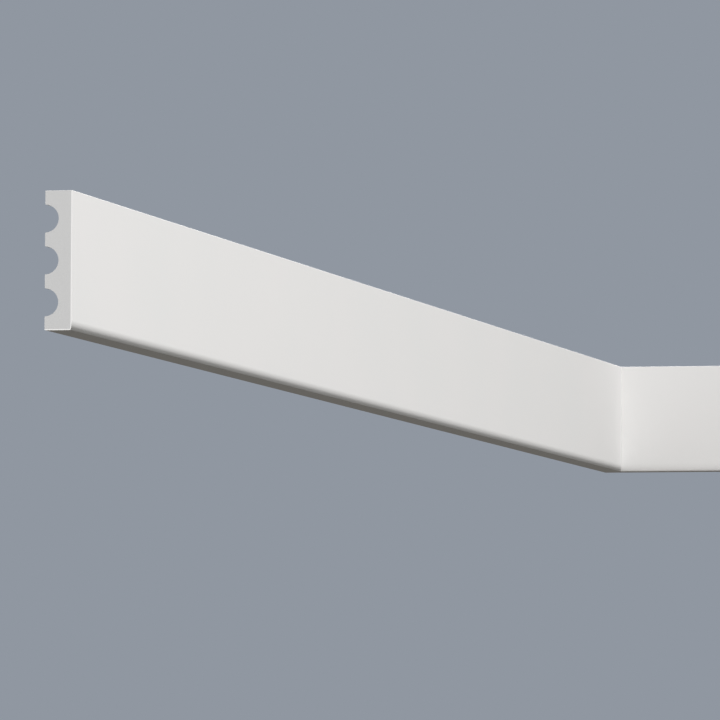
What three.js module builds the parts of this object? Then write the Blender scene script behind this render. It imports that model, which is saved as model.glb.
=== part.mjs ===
// A flat skirting board in rigid polystyrene foam with a white coat, in two lengths that meet in the mitred
// inner corner of a room. The front is plain with an eased lower edge, and adhesive grooves run along the back.
// Millimetres, +Z up. The boards are laid out with the room's corner at the origin, the walls on the planes
// x = 0 and y = 0 and the floor on z = 0, and the group is then centred on its own base.
import * as THREE from "three";

// Section of the board
const boardHeight = 50;
const boardThickness = 10;

// Half-round adhesive grooves along the back, with flat ribs between them
const grooveRadius = 5;
const ribWidth = 5;

// Eased lower front edge: a broad arc that leaves the front tangentially and turns in by the ease angle
const easeRadius = 15;
const easeAngle = THREE.MathUtils.degToRad(15);

// Fine rounding where the front meets the top, and where the ease meets the underside
const arrisRadius = 0.3;

// Lengths along the wall, from the room's corner to the square cut end
const longLength = 1000;
const returnLength = 60;

// Joint between the two mitred faces, measured square to them
const mitreGap = 0.3;

// Half the number of straight steps in each arc of the section
const arcSteps = 12;

// Heights of the groove centres from the top one down. As many grooves as the height has room for share it
// evenly, so the ribs are ribWidth wide where the height is a whole number of grooves and ribs.
function grooveHeights() {
  const count = Math.round((boardHeight - ribWidth) / (2 * grooveRadius + ribWidth));
  const rib = (boardHeight - count * 2 * grooveRadius) / (count + 1);
  const heights = [];
  for (let i = 0; i < count; i++) {
    heights.push(boardHeight - (i + 1) * (rib + 2 * grooveRadius) + grooveRadius);
  }
  return heights;
}

// The section, with X the distance from the wall and Y the height above the floor.
function boardSection() {
  const easeReach = easeRadius - arrisRadius;
  const easeX = boardThickness - easeRadius;
  const easeY = arrisRadius + easeReach * Math.sin(easeAngle);
  const lowerArrisX = easeX + easeReach * Math.cos(easeAngle);
  const upperArrisX = boardThickness - arrisRadius;
  const upperArrisY = boardHeight - arrisRadius;
  const section = new THREE.Shape();
  section.moveTo(0, 0);
  section.lineTo(lowerArrisX, 0);
  section.absarc(lowerArrisX, arrisRadius, arrisRadius, -Math.PI / 2, -easeAngle);
  section.absarc(easeX, easeY, easeRadius, -easeAngle, 0);
  section.absarc(upperArrisX, upperArrisY, arrisRadius, 0, Math.PI / 2);
  section.lineTo(0, boardHeight);
  for (const height of grooveHeights()) {
    section.absarc(0, height, grooveRadius, Math.PI / 2, -Math.PI / 2, true);
  }
  return section;
}

// A board along +Z with its back on X = 0. One end is cut square. The other, at Z = 0 or at Z = length, is
// mitred at 45 degrees for an inner corner, so that it draws back by its distance from the wall.
function mitredBoard(length, mitreAtStart) {
  const geometry = new THREE.ExtrudeGeometry(boardSection(), {
    depth: length,
    bevelEnabled: false,
    curveSegments: arcSteps,
  });
  const halfGap = (mitreGap / 2) * Math.SQRT2;
  const position = geometry.attributes.position;
  for (let i = 0; i < position.count; i++) {
    const drawnBack = position.getX(i) + halfGap;
    const atStart = position.getZ(i) < length / 2;
    if (mitreAtStart && atStart) {
      position.setZ(i, drawnBack);
    }
    if (!mitreAtStart && !atStart) {
      position.setZ(i, length - drawnBack);
    }
  }
  geometry.computeVertexNormals();
  return geometry;
}

// White primer coat over rigid foam: matt, slightly warm
function whiteCoat() {
  return new THREE.MeshStandardMaterial({ color: 0xe9e8e6, roughness: 0.8, metalness: 0 });
}

// The long board runs from the corner towards -Y, on the wall x = 0.
function makeLongBoard() {
  const board = new THREE.Mesh(mitredBoard(longLength, true), whiteCoat());
  board.name = "long_board";
  board.rotation.set(Math.PI / 2, 0, 0);
  return board;
}

// The return runs from the corner towards +X, on the wall y = 0.
function makeReturnBoard() {
  const board = new THREE.Mesh(mitredBoard(returnLength, false), whiteCoat());
  board.name = "return_board";
  board.rotation.set(Math.PI / 2, -Math.PI / 2, 0);
  board.position.set(returnLength, 0, 0);
  return board;
}

const skirting = new THREE.Group();
skirting.add(makeLongBoard(), makeReturnBoard());
skirting.position.set(-returnLength / 2, longLength / 2, 0);

export default skirting;
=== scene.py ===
import math

import bmesh
import bpy
from mathutils import Euler, Matrix, Vector


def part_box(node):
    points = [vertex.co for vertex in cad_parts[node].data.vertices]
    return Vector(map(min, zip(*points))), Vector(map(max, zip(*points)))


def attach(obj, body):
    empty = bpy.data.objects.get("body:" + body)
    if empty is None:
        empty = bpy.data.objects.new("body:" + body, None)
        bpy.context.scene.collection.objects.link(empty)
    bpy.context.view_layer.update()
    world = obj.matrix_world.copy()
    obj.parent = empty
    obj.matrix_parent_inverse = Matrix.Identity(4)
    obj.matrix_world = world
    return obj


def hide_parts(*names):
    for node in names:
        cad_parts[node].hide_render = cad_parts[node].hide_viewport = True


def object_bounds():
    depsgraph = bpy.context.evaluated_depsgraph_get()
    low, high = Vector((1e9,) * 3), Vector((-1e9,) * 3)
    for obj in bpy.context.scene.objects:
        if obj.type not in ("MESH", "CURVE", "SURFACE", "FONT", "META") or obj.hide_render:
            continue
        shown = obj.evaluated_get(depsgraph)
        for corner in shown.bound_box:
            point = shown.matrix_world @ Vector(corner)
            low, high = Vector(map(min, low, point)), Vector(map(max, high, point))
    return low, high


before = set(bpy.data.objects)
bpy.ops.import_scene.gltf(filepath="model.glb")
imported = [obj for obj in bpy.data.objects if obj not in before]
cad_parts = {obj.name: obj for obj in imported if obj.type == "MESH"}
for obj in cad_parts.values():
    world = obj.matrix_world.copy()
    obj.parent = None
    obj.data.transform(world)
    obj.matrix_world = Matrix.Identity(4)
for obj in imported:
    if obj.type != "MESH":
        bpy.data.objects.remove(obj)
cad_low, cad_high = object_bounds()

MM = 0.001

# Sizes and places that the frame gives. The room's corner is where the two backs meet, at the boards'
# foot.
long_low, long_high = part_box("long_board")
THICKNESS = long_high.x - long_low.x
HEIGHT = long_high.z - long_low.z
LONG_LENGTH = cad_high.y - cad_low.y
RETURN_LENGTH = cad_high.x - cad_low.x
ROOM_CORNER = Vector((cad_low.x, cad_high.y, cad_low.z))

# Grooves along the back, as in the solids, and the ribs beside them, which the die leaves a little
# rounded
GROOVE_RADIUS = 5 * MM
GROOVE_COUNT = 3
RIB = (HEIGHT - GROOVE_COUNT * 2 * GROOVE_RADIUS) / (GROOVE_COUNT + 1)
RIB_ROUNDING = 0.3 * MM

# Lower front edge: a quarter of a tall ellipse, which turns slowly off the front and quickly onto the
# underside
EASE_DEPTH = 0.54 * MM
EASE_HEIGHT = 3.5 * MM

# The coat is sprayed from the front and from below, so it is thick there and thin over the top
COAT = 0.4 * MM
COAT_ON_TOP = 0.1 * MM
TOP_ROUNDING = 0.05 * MM

# Steps in each arc of the section
EDGE_STEPS = 6
EASE_STEPS = 32
GROOVE_STEPS = 44

# A straight longer than this keeps a point close to each end, so that the arcs' shading doesn't spread
# over it
LONG_STRAIGHT = 2 * MM
HELD_WITHIN = 0.1 * MM

# Points closer than this are welded into one. Faces that meet at more than this angle, in degrees, keep a
# crisp edge between them.
WELD_WITHIN = 0.001 * MM
CRISP_ANGLE = 20

# The camera that the photograph's perspective gives: a long lens, aimed from a little below at the long
# board's front. The aim is a place along the wall from the room's corner, and a height above the boards'
# foot. Angles in degrees. The reach takes in the whole floor.
AIM_FROM_CORNER = 553.1 * MM
AIM_HEIGHT = 18.2 * MM
CAMERA_DISTANCE = 3270 * MM
CAMERA_TURN_LEFT = 13.308
CAMERA_TILT_UP = 3.745
CAMERA_ROLL = 0.253
CAMERA_LENS_MM = 397.7
CAMERA_REACH = 1500.0

# The floor lies far enough down for the underside to be looked at, and runs on nearly to the horizon
FLOOR_DROP = 13.0
FLOOR_SIZE = 1000.0

# Soft light all round. It turns from dim to bright across the horizon, from directions that dip by this
# sine to those that rise by it. Its gain behind the corner is a share, and it loses as much opposite.
HORIZON_BAND = 0.1
TOWARDS_CORNER = (-0.7, 0.7, 0)
CORNER_GAIN = 0.7

# Lamps: name, place, aim, side and watts. The key and the fill are small and stand steeply over the
# boards, so that the eased edge turns dark within a few millimetres. They aim well past the square cut
# end, so that their light weakens towards the corner.
LAMPS = (
    ("key", (0.56, 0.49, 3.61), (0, -3.06, 0), 0.15, 480),
    ("fill", (0.45, -2.44, 3.19), (0, -3.89, 0), 0.15, 345),
    ("back light", (-2.2, 1.6, 2.4), (0, 0, 0), 1.2, 60),
)

# A colour Mix node's own sockets, which share their names with those for numbers
MIX_A = 6
MIX_B = 7
MIX_RESULT = 2


def colour(hex_code):
    """The linear colour, with alpha, of an sRGB hex value such as #E8E6E3."""
    values = [int(hex_code[i:i + 2], 16) / 255 for i in (1, 3, 5)]
    linear = [v / 12.92 if v <= 0.04045 else ((v + 0.055) / 1.055) ** 2.4 for v in values]
    return (*linear, 1.0)


def add_node(tree, kind, settings=None, links=None):
    """Adds a node. Settings name its properties or input sockets, and links give inputs their sources."""
    node = tree.nodes.new(kind)
    for key, value in (settings or {}).items():
        if isinstance(key, str) and hasattr(node, key):
            setattr(node, key, value)
        else:
            node.inputs[key].default_value = value
    for key, source in (links or {}).items():
        tree.links.new(source, node.inputs[key])
    return node


def arc(centre, radii, start, end, steps):
    """Points of an arc of the section as (out from the wall, height), with angles in degrees."""
    points = []
    for i in range(steps + 1):
        angle = math.radians(start + (end - start) * i / steps)
        points.append((centre[0] + radii[0] * math.cos(angle), centre[1] + radii[1] * math.sin(angle)))
    return points


def held_flat(points):
    """The same line with the points added that keep its long straights flat under smooth shading."""
    line = [points[0]]
    for start, end in zip(points, points[1:]):
        length = math.dist(start, end)
        if length > LONG_STRAIGHT:
            for along in (HELD_WITHIN, length - HELD_WITHIN):
                share = along / length
                line.append(tuple(a + (b - a) * share for a, b in zip(start, end)))
        line.append(end)
    return line


def coat_outside():
    """The coat's outer line, from the foot of the back round by the underside, the front and the top."""
    ease_centre = (THICKNESS - EASE_DEPTH, EASE_HEIGHT)
    front_top = (THICKNESS - TOP_ROUNDING, HEIGHT - TOP_ROUNDING)
    back_top = (COAT_ON_TOP, HEIGHT - COAT_ON_TOP)
    points = arc((COAT, COAT), (COAT, COAT), 180, 270, EDGE_STEPS)
    points += arc(ease_centre, (EASE_DEPTH, EASE_HEIGHT), -90, 0, EASE_STEPS)
    points += arc(front_top, (TOP_ROUNDING, TOP_ROUNDING), 0, 90, EDGE_STEPS)
    points += arc(back_top, (COAT_ON_TOP, COAT_ON_TOP), 90, 180, EDGE_STEPS)
    return held_flat(points)


def coat_inside():
    """The line between coat and foam, from the underside up behind the front to the top."""
    radii = (EASE_DEPTH - COAT, EASE_HEIGHT - COAT)
    points = arc((THICKNESS - EASE_DEPTH, EASE_HEIGHT), radii, -90, 0, EASE_STEPS)
    points.append((THICKNESS - COAT, HEIGHT - COAT_ON_TOP))
    return points


def bare_back():
    """The back from the top rib to the bottom one: half-round grooves, with rounded lips on the ribs."""
    reach = GROOVE_RADIUS + RIB_ROUNDING
    rise = math.sqrt(reach ** 2 - RIB_ROUNDING ** 2)
    turn = math.degrees(math.atan2(rise, RIB_ROUNDING))
    lip = (RIB_ROUNDING, RIB_ROUNDING)
    groove = (GROOVE_RADIUS, GROOVE_RADIUS)
    points = []
    for i in range(GROOVE_COUNT):
        middle = HEIGHT - RIB - GROOVE_RADIUS - i * (RIB + 2 * GROOVE_RADIUS)
        points += arc((RIB_ROUNDING, middle + rise), lip, 180, 180 + turn, EDGE_STEPS)
        points += arc((0, middle), groove, turn, -turn, GROOVE_STEPS)[1:-1]
        points += arc((RIB_ROUNDING, middle - rise), lip, 180 - turn, 180, EDGE_STEPS)
    return held_flat(points)


def section_plate():
    """A flat plate in the section's shape: a strip of coat along the edge of bare foam."""
    sheet = bmesh.new()
    is_foam = sheet.faces.layers.bool.new("foam")
    outside, inside, back = (
        [sheet.verts.new((out, 0, height)) for out, height in line]
        for line in (coat_outside(), coat_inside(), bare_back())
    )
    strip = sheet.faces.new(inside + outside[::-1])
    core = sheet.faces.new(back[::-1] + [outside[-1]] + inside[::-1] + [outside[0]])
    core[is_foam] = True
    sheet.normal_update()
    bmesh.ops.triangulate(sheet, faces=[strip, core])
    mesh = bpy.data.meshes.new("section")
    sheet.to_mesh(mesh)
    sheet.free()
    return mesh


def run_tree():
    """Geometry nodes that run the section plate along a wall, from the corner's mitre to a square end.

    The plate has X out from the wall, Y along it from the corner and Z up. The finished points keep that
    place in the attribute board_place, so that the finish follows the board on either wall.
    """
    tree = bpy.data.node_groups.new("moulding run", "GeometryNodeTree")
    for name, in_out, kind in (
        ("Section", "INPUT", "NodeSocketGeometry"),
        ("Length", "INPUT", "NodeSocketFloat"),
        ("Room corner", "INPUT", "NodeSocketVector"),
        ("Out from the wall", "INPUT", "NodeSocketVector"),
        ("Along the wall", "INPUT", "NodeSocketVector"),
        ("Coat", "INPUT", "NodeSocketMaterial"),
        ("Back", "INPUT", "NodeSocketMaterial"),
        ("Cut end", "INPUT", "NodeSocketMaterial"),
        ("Board", "OUTPUT", "NodeSocketGeometry"),
    ):
        tree.interface.new_socket(name, in_out=in_out, socket_type=kind)
    given = add_node(tree, "NodeGroupInput").outputs

    # The plate at the corner and its copy at the square end, with the long faces between them
    reach = add_node(tree, "ShaderNodeCombineXYZ", links={"Y": given["Length"]})
    drawn = add_node(
        tree, "GeometryNodeExtrudeMesh", {"Individual": False},
        {"Mesh": given["Section"], "Offset": reach.outputs[0]},
    )
    corner_end = add_node(tree, "GeometryNodeFlipFaces", links={"Mesh": given["Section"]})
    both = add_node(tree, "GeometryNodeJoinGeometry", links={"Geometry": corner_end.outputs[0]})
    tree.links.new(drawn.outputs["Mesh"], both.inputs["Geometry"])
    bar = add_node(
        tree, "GeometryNodeMergeByDistance", {"Distance": WELD_WITHIN}, {"Geometry": both.outputs[0]}
    )

    # The mitre: at the corner end each point draws back by its distance from the wall
    position = add_node(tree, "GeometryNodeInputPosition").outputs[0]
    place = add_node(tree, "ShaderNodeSeparateXYZ", links={0: position}).outputs
    half = add_node(tree, "ShaderNodeMath", {"operation": "MULTIPLY", 1: 0.5}, {0: given["Length"]})
    at_corner = add_node(
        tree, "FunctionNodeCompare", {"data_type": "FLOAT", "operation": "LESS_THAN"},
        {"A": place["Y"], "B": half.outputs[0]},
    )
    draw_back = add_node(tree, "ShaderNodeCombineXYZ", links={"Y": place["X"]})
    mitred = add_node(
        tree, "GeometryNodeSetPosition",
        links={
            "Geometry": bar.outputs[0],
            "Selection": at_corner.outputs[0],
            "Offset": draw_back.outputs[0],
        },
    )
    kept = add_node(
        tree, "GeometryNodeStoreNamedAttribute",
        {"data_type": "FLOAT_VECTOR", "domain": "POINT", "Name": "board_place"},
        {"Geometry": mitred.outputs[0], "Value": position},
    )

    # The board turned onto its own wall: so far out from it, along it and up
    moves = [
        add_node(
            tree, "ShaderNodeVectorMath", {"operation": "SCALE"}, {0: given[way], "Scale": place[axis]}
        )
        for way, axis in (("Out from the wall", "X"), ("Along the wall", "Y"))
    ]
    moves.append(add_node(tree, "ShaderNodeCombineXYZ", links={"Z": place["Z"]}))
    total = given["Room corner"]
    for move in moves:
        total = add_node(
            tree, "ShaderNodeVectorMath", {"operation": "ADD"}, {0: total, 1: move.outputs[0]}
        ).outputs[0]
    placed = add_node(
        tree, "GeometryNodeSetPosition", links={"Geometry": kept.outputs[0], "Position": total}
    )

    # Coat all over, then bare foam at the ends and on the back
    foam = add_node(tree, "GeometryNodeInputNamedAttribute", {"data_type": "BOOLEAN", "Name": "foam"})
    is_foam = foam.outputs["Attribute"]
    is_back = add_node(
        tree, "FunctionNodeBooleanMath", {"operation": "AND"}, {0: is_foam, 1: drawn.outputs["Side"]}
    )
    finished = add_node(tree, "GeometryNodeRealizeInstances", links={"Geometry": placed.outputs[0]})
    for name, where in (("Coat", None), ("Cut end", is_foam), ("Back", is_back.outputs[0])):
        links = {"Geometry": finished.outputs[0], "Material": given[name]}
        if where:
            links["Selection"] = where
        finished = add_node(tree, "GeometryNodeSetMaterial", links=links)
    add_node(tree, "NodeGroupOutput", links={0: finished.outputs[0]})
    return tree


def run_board(name, tree, inputs):
    """A board from the run tree with these inputs, as a plain mesh for the CAD node of the same name."""
    source = bpy.data.objects.new(name + "_section", section_plate())
    bpy.context.scene.collection.objects.link(source)
    modifier = source.modifiers.new("run", "NODES")
    modifier.node_group = tree
    identifiers = {s.name: s.identifier for s in tree.interface.items_tree if s.in_out == "INPUT"}
    for socket, value in inputs.items():
        modifier[identifiers[socket]] = value
    shown = source.evaluated_get(bpy.context.evaluated_depsgraph_get())
    mesh = bpy.data.meshes.new_from_object(shown)
    bpy.data.objects.remove(source)

    # One of the two walls mirrors the plate, so the faces are turned outwards again
    solid = bmesh.new()
    solid.from_mesh(mesh)
    bmesh.ops.recalc_face_normals(solid, faces=solid.faces)
    solid.to_mesh(mesh)
    solid.free()

    mesh.shade_smooth()
    mesh.set_sharp_from_angle(angle=math.radians(CRISP_ANGLE))
    mesh.name = name
    board = bpy.data.objects.new(name + "_finished", mesh)
    bpy.context.scene.collection.objects.link(board)
    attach(board, "root")
    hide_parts(name)


def new_material(name, settings):
    """A material, its tree and its Principled shader, whose sockets have these values."""
    material = bpy.data.materials.new(name)
    material.use_nodes = True
    shader = material.node_tree.nodes["Principled BSDF"]
    for socket, value in settings.items():
        shader.inputs[socket].default_value = value
    return material, material.node_tree, shader


def matt_primer():
    """Water-based acrylic primer, sprayed on an extruded bar: matt, faintly stippled, a warm white."""
    material, tree, shader = new_material("matt acrylic primer", {"IOR": 1.5, "Specular IOR Level": 0.3})
    place = add_node(tree, "ShaderNodeAttribute", {"attribute_name": "board_place"}).outputs["Vector"]

    # Thin and thick passes of the spray, about 60 mm across, change the tone by a level or two
    passes = add_node(
        tree, "ShaderNodeTexNoise",
        {"Scale": 1 / (60 * MM), "Detail": 2.0, "Roughness": 0.4},
        {"Vector": place},
    ).outputs["Fac"]
    tone = add_node(
        tree, "ShaderNodeMix",
        {"data_type": "RGBA", MIX_A: colour("#E5E5E4"), MIX_B: colour("#E8E6E5")},
        {"Factor": passes},
    )
    tree.links.new(tone.outputs[MIX_RESULT], shader.inputs["Base Color"])

    # The same passes change the sheen a little, from one matt to another
    sheen = add_node(tree, "ShaderNodeMapRange", {"To Min": 0.72, "To Max": 0.84}, {"Value": passes})
    tree.links.new(sheen.outputs[0], shader.inputs["Roughness"])

    # Spray stipple about 0.9 mm across, and lines 0.5 mm apart and about 80 mm long from the die that
    # shaped the bar, all a few thousandths of a millimetre high
    stipple = add_node(
        tree, "ShaderNodeTexNoise", {"Scale": 1 / (0.9 * MM), "Detail": 2.0}, {"Vector": place}
    )
    drawn_out = add_node(
        tree, "ShaderNodeVectorMath", {"operation": "MULTIPLY", 1: (1.0, 0.006, 1.0)}, {0: place}
    )
    lines = add_node(
        tree, "ShaderNodeTexNoise",
        {"Scale": 1 / (0.5 * MM), "Detail": 1.0},
        {"Vector": drawn_out.outputs[0]},
    )
    relief = add_node(
        tree, "ShaderNodeMath", {"operation": "ADD"}, {0: stipple.outputs["Fac"], 1: lines.outputs["Fac"]}
    )
    bump = add_node(
        tree, "ShaderNodeBump",
        {"Strength": 0.25, "Distance": 0.006 * MM},
        {"Height": relief.outputs[0]},
    )
    tree.links.new(bump.outputs[0], shader.inputs["Normal"])
    return material


def foam_skin():
    """Bare skin of extruded polystyrene foam on the back: light grey, closed, with lines from the die."""
    material, tree, shader = new_material(
        "extruded polystyrene skin", {"IOR": 1.5, "Specular IOR Level": 0.3}
    )
    place = add_node(tree, "ShaderNodeAttribute", {"attribute_name": "board_place"}).outputs["Vector"]

    # Die lines 0.7 mm apart and about 100 mm long, and slow clouds 25 mm across
    drawn_out = add_node(
        tree, "ShaderNodeVectorMath", {"operation": "MULTIPLY", 1: (1.0, 0.007, 1.0)}, {0: place}
    )
    lines = add_node(
        tree, "ShaderNodeTexNoise",
        {"Scale": 1 / (0.7 * MM), "Detail": 2.0},
        {"Vector": drawn_out.outputs[0]},
    ).outputs["Fac"]
    clouds = add_node(
        tree, "ShaderNodeTexNoise", {"Scale": 1 / (25 * MM), "Detail": 3.0}, {"Vector": place}
    ).outputs["Fac"]

    # The two together give the tone, the clouds the sheen and the lines the relief, 0.03 mm high
    both = add_node(tree, "ShaderNodeMath", {"operation": "MULTIPLY"}, {0: lines, 1: clouds})
    patches = add_node(
        tree, "ShaderNodeMapRange", {"From Min": 0.1, "From Max": 0.4}, {"Value": both.outputs[0]}
    )
    tone = add_node(
        tree, "ShaderNodeMix",
        {"data_type": "RGBA", MIX_A: colour("#BEBEBD"), MIX_B: colour("#CBCBC9")},
        {"Factor": patches.outputs[0]},
    )
    tree.links.new(tone.outputs[MIX_RESULT], shader.inputs["Base Color"])
    sheen = add_node(tree, "ShaderNodeMapRange", {"To Min": 0.5, "To Max": 0.7}, {"Value": clouds})
    tree.links.new(sheen.outputs[0], shader.inputs["Roughness"])
    bump = add_node(tree, "ShaderNodeBump", {"Strength": 0.4, "Distance": 0.03 * MM}, {"Height": lines})
    tree.links.new(bump.outputs[0], shader.inputs["Normal"])
    return material


def sawn_foam():
    """Rigid polystyrene foam, cut with a fine saw: light grey, matt, pricked with fine cells."""
    material, tree, shader = new_material(
        "sawn polystyrene foam", {"IOR": 1.5, "Specular IOR Level": 0.2, "Roughness": 0.9}
    )
    place = add_node(tree, "ShaderNodeTexCoord").outputs["Object"]

    # Foam cells, 0.35 mm across. Their open mouths are a shade darker than the walls between them:
    # painted shade in the hollows
    cells = add_node(
        tree, "ShaderNodeTexVoronoi", {"feature": "F1", "Scale": 1 / (0.35 * MM)}, {"Vector": place}
    )
    walls = add_node(
        tree, "ShaderNodeMapRange",
        {"From Min": 0.1, "From Max": 0.6},
        {"Value": cells.outputs["Distance"]},
    ).outputs[0]
    tone = add_node(
        tree, "ShaderNodeMix",
        {"data_type": "RGBA", MIX_A: colour("#BDBDBD"), MIX_B: colour("#C4C4C4")},
        {"Factor": walls},
    )
    tree.links.new(tone.outputs[MIX_RESULT], shader.inputs["Base Color"])

    # Saw marks, upright lines about 0.6 mm apart and 30 mm long. They and the cells are 0.03 mm deep.
    drawn_out = add_node(
        tree, "ShaderNodeVectorMath", {"operation": "MULTIPLY", 1: (1.0, 1.0, 0.02)}, {0: place}
    )
    marks = add_node(
        tree, "ShaderNodeTexNoise",
        {"Scale": 1 / (0.6 * MM), "Detail": 1.0},
        {"Vector": drawn_out.outputs[0]},
    )
    relief = add_node(tree, "ShaderNodeMath", {"operation": "ADD"}, {0: walls, 1: marks.outputs["Fac"]})
    bump = add_node(
        tree, "ShaderNodeBump",
        {"Strength": 0.4, "Distance": 0.03 * MM},
        {"Height": relief.outputs[0]},
    )
    tree.links.new(bump.outputs[0], shader.inputs["Normal"])
    return material


def make_boards():
    """The long board on the left wall and the return on the wall beyond the corner."""
    tree = run_tree()
    shared = {
        "Room corner": ROOM_CORNER,
        "Coat": matt_primer(),
        "Back": foam_skin(),
        "Cut end": sawn_foam(),
    }
    into_room = Vector((1, 0, 0))
    towards_viewer = Vector((0, -1, 0))
    for name, length, out, along in (
        ("long_board", LONG_LENGTH, into_room, towards_viewer),
        ("return_board", RETURN_LENGTH, towards_viewer, into_room),
    ):
        own = {"Length": length, "Out from the wall": out, "Along the wall": along}
        run_board(name, tree, {**shared, **own})


def make_camera():
    """The camera at the photograph's place, turned by its angles about the point that it aims at."""
    lens = bpy.data.cameras.new("camera")
    lens.lens = CAMERA_LENS_MM
    lens.clip_end = CAMERA_REACH
    camera = bpy.data.objects.new("camera", lens)
    aim = Vector((long_high.x, ROOM_CORNER.y - AIM_FROM_CORNER, AIM_HEIGHT))
    upright = Euler((math.radians(90 + CAMERA_TILT_UP), 0, math.radians(CAMERA_TURN_LEFT))).to_matrix()
    camera.location = aim + CAMERA_DISTANCE * upright.col[2]
    camera.rotation_euler = (upright @ Matrix.Rotation(math.radians(CAMERA_ROLL), 3, "Z")).to_euler()
    bpy.context.scene.collection.objects.link(camera)
    bpy.context.scene.camera = camera


def make_floor():
    """A plain pale floor, in matt paint of the backdrop's tone, so that no line shows where it ends."""
    mesh = bpy.data.meshes.new("floor")
    half = FLOOR_SIZE / 2
    low = cad_low.z - FLOOR_DROP
    corners = [(-half, -half, low), (half, -half, low), (half, half, low), (-half, half, low)]
    mesh.from_pydata(corners, [], [(0, 1, 2, 3)])
    floor = bpy.data.objects.new("floor", mesh)
    paint, _, _ = new_material("pale floor paint", {"Base Color": colour("#979EA9"), "Roughness": 0.9})
    mesh.materials.append(paint)
    bpy.context.scene.collection.objects.link(floor)

    # It throws no light back, because the dim half of the studio already lights the boards from below
    floor.visible_diffuse = False
    floor.visible_glossy = False


def make_world():
    """A studio with soft light from above and little from below, in front of a plain blue-grey backdrop.

    The side behind the corner is the brighter one, so that the boards hide as much light from each other
    there as they throw back.
    """
    world = bpy.data.worlds.new("studio")
    world.use_nodes = True
    tree = world.node_tree
    direction = add_node(tree, "ShaderNodeTexCoord").outputs["Generated"]

    # Dim below the horizon and bright above it
    height = add_node(tree, "ShaderNodeSeparateXYZ", links={0: direction}).outputs["Z"]
    above = add_node(
        tree, "ShaderNodeMapRange",
        {"From Min": -HORIZON_BAND, "From Max": HORIZON_BAND},
        {"Value": height},
    )
    soft = add_node(
        tree, "ShaderNodeMix",
        {"data_type": "RGBA", MIX_A: colour("#706E6A"), MIX_B: colour("#E8E8E7")},
        {"Factor": above.outputs[0]},
    )

    # Brighter behind the corner
    behind = add_node(
        tree, "ShaderNodeVectorMath", {"operation": "DOT_PRODUCT", 1: TOWARDS_CORNER}, {0: direction}
    )
    gain = add_node(
        tree, "ShaderNodeMath",
        {"operation": "MULTIPLY_ADD", 1: CORNER_GAIN, 2: 1.0},
        {0: behind.outputs["Value"]},
    )
    light = add_node(
        tree, "ShaderNodeVectorMath", {"operation": "SCALE"},
        {0: soft.outputs[MIX_RESULT], "Scale": gain.outputs[0]},
    )

    # The backdrop that is seen has one tone
    seen = add_node(tree, "ShaderNodeLightPath").outputs["Is Camera Ray"]
    tone = add_node(
        tree, "ShaderNodeMix",
        {"data_type": "RGBA", MIX_B: colour("#9097A1")},
        {"Factor": seen, MIX_A: light.outputs[0]},
    )
    tree.links.new(tone.outputs[MIX_RESULT], tree.nodes["Background"].inputs["Color"])
    bpy.context.scene.world = world


def make_light(name, place, aim, side, watts):
    """A square light that faces its aim and isn't seen itself."""
    lamp = bpy.data.lights.new(name, "AREA")
    lamp.size = side
    lamp.energy = watts
    light = bpy.data.objects.new(name, lamp)
    light.location = place
    light.rotation_euler = (Vector(aim) - Vector(place)).to_track_quat("-Z", "Y").to_euler()
    light.visible_camera = False
    bpy.context.scene.collection.objects.link(light)


make_camera()
make_boards()
make_floor()
make_world()
for lamp in LAMPS:
    make_light(*lamp)
bpy.context.scene.view_settings.view_transform = "Standard"
